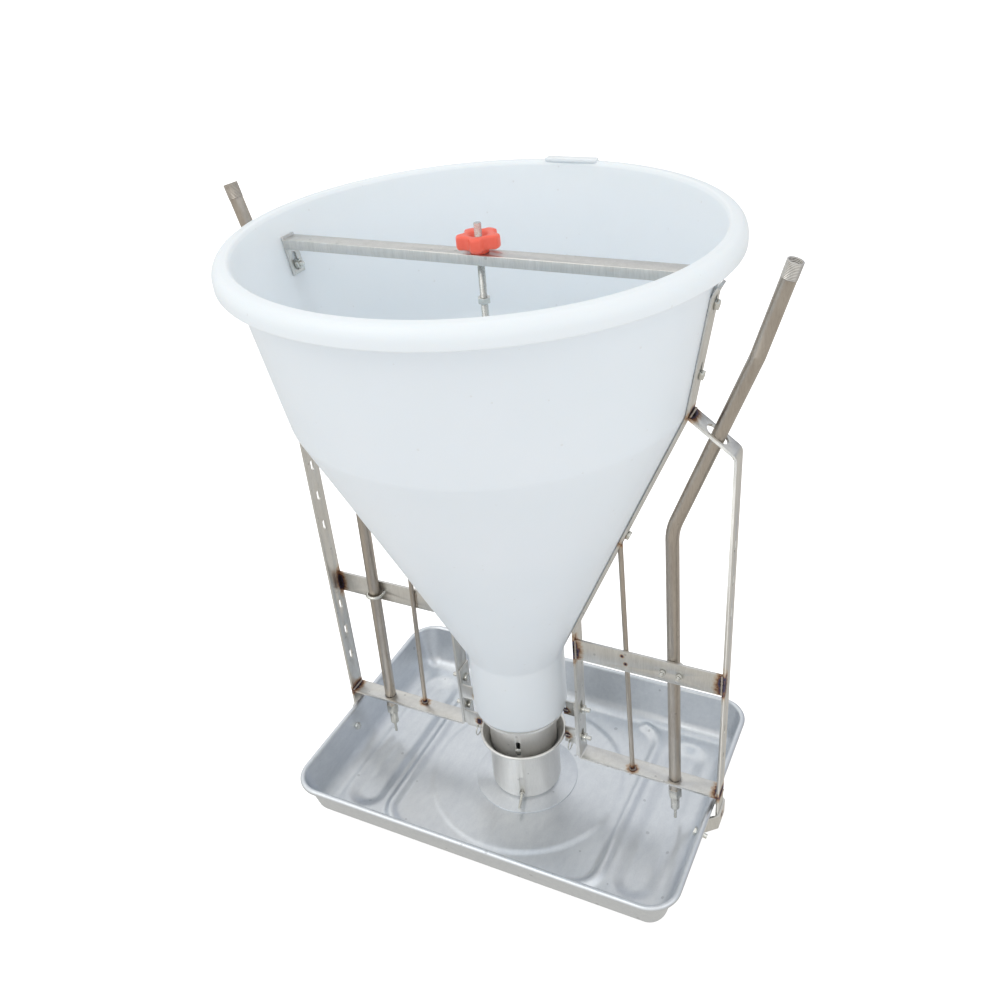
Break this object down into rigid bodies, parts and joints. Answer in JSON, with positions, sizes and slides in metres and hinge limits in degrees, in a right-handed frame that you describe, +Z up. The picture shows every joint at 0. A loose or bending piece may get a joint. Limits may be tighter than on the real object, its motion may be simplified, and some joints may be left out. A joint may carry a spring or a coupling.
{
  "type": "pig feeder",
  "caption": "Wet and dry feeder for pigs: round hopper on two bent-bar side frames, knob-set metering cone and drop tube over a trough with two pipe-fed nipple drinkers.",
  "frame": {"origin": "centre of the trough on the ground", "axes": "+X along the trough to the right, +Y to the back, +Z up"},
  "size_m": [0.8341, 0.687, 1.066],
  "materials": {
    "hopper_plastic": "milky white moulded polyethylene",
    "knob_plastic": "orange-red moulded plastic",
    "seal_rubber": "black rubber",
    "trough_steel": "deep-drawn stainless sheet, satin",
    "tube_steel": "rolled stainless sheet, satin bright",
    "bar_steel": "hot-rolled stainless flat bar with heat tints at the welds",
    "rod_steel": "drawn stainless tube and rod, warm grey",
    "drinker_steel": "turned stainless",
    "fastener_steel": "bright zinc or stainless fasteners"
  },
  "bodies": {
    "feeder": {"trough": "trough_steel", "skirt_cone": "trough_steel", "drop_tube": "tube_steel", "spigot": "tube_steel", "hopper_wall": "hopper_plastic", "hopper_cone": "hopper_plastic", "hopper_neck": "hopper_plastic", "crossbar": "bar_steel", "crossbar_plate_right": "bar_steel", "crossbar_plate_left": "bar_steel", "strap_right": "bar_steel", "strap_left": "bar_steel", "upright_right": "bar_steel", "upright_left": "bar_steel", "mid_bar_right": "bar_steel", "mid_bar_left": "bar_steel", "brace_rod_right": "rod_steel", "brace_rod_left": "rod_steel", "water_pipe_right": "rod_steel", "water_pipe_left": "rod_steel", "u_bolt_right": "fastener_steel", "u_bolt_left": "fastener_steel", "neck_bracket_right": "bar_steel", "neck_bracket_left": "bar_steel", "end_clip_right": "bar_steel", "end_clip_left": "bar_steel", "drinker_socket_right": "drinker_steel", "drinker_socket_left": "drinker_steel", "drinker_body_right": "drinker_steel", "drinker_body_left": "drinker_steel", "u_bolt_nuts": "fastener_steel", "bracket_bolts": "fastener_steel", "bracket_nuts": "fastener_steel", "hopper_bolts": "fastener_steel", "hopper_nuts": "fastener_steel", "clip_bolts": "fastener_steel", "clip_nuts": "fastener_steel", "drinker_seals": "seal_rubber"},
    "knob": {"star_knob": "knob_plastic", "knob_insert": "fastener_steel"},
    "lifting_rod": {"threaded_rod": "fastener_steel", "lock_nut": "fastener_steel", "plain_rod": "rod_steel", "metering_cone": "tube_steel", "guide_bolt": "fastener_steel", "guide_nut": "fastener_steel"},
    "sleeve": {"feed_sleeve": "tube_steel", "sleeve_bolt": "fastener_steel", "sleeve_nut": "fastener_steel"},
    "pin_right": {"drinker_pin_right": "drinker_steel"},
    "pin_left": {"drinker_pin_left": "drinker_steel"},
    "ring_right": {"hanging_ring_right": "fastener_steel"},
    "ring_left": {"hanging_ring_left": "fastener_steel"}
  },
  "joints": [
    {"name": "knob_turn", "type": "hinge", "parent": "feeder", "child": "knob", "pos_m": [0, 0, 1], "axis": [0, 0, 1], "range_deg": [-2881, 1921]},
    {"name": "rod_lift", "type": "slide", "parent": "feeder", "child": "lifting_rod", "axis": [0, 0, 1], "range_m": [-0.008, 0.012]},
    {"name": "sleeve_slide", "type": "slide", "parent": "feeder", "child": "sleeve", "axis": [0, 0, 1], "range_m": [0, 0.036]},
    {"name": "pin_tilt_right", "type": "hinge", "parent": "feeder", "child": "pin_right", "pos_m": [0.27968, -0.0007, 0.05251], "axis": [0.9997, 0, 0.0227], "range_deg": [-6, 6], "stiffness_Nm_per_rad": 1},
    {"name": "pin_tilt_left", "type": "hinge", "parent": "feeder", "child": "pin_left", "pos_m": [-0.27968, 0.0007, 0.05251], "axis": [-0.9997, 0, 0.0227], "range_deg": [-6, 6], "stiffness_Nm_per_rad": 1},
    {"name": "ring_swing_right", "type": "hinge", "parent": "feeder", "child": "ring_right", "pos_m": [0.084, 0.0135, 0.116], "axis": [0, 1, 0], "range_deg": [-45, 35]},
    {"name": "ring_swing_left", "type": "hinge", "parent": "feeder", "child": "ring_left", "pos_m": [-0.084, -0.0135, 0.116], "axis": [0, -1, 0], "range_deg": [-45, 35]}
  ],
  "couplings": [
    {"joint": "knob_turn", "follows": "rod_lift", "rad_per_m": -4188.8}
  ]
}
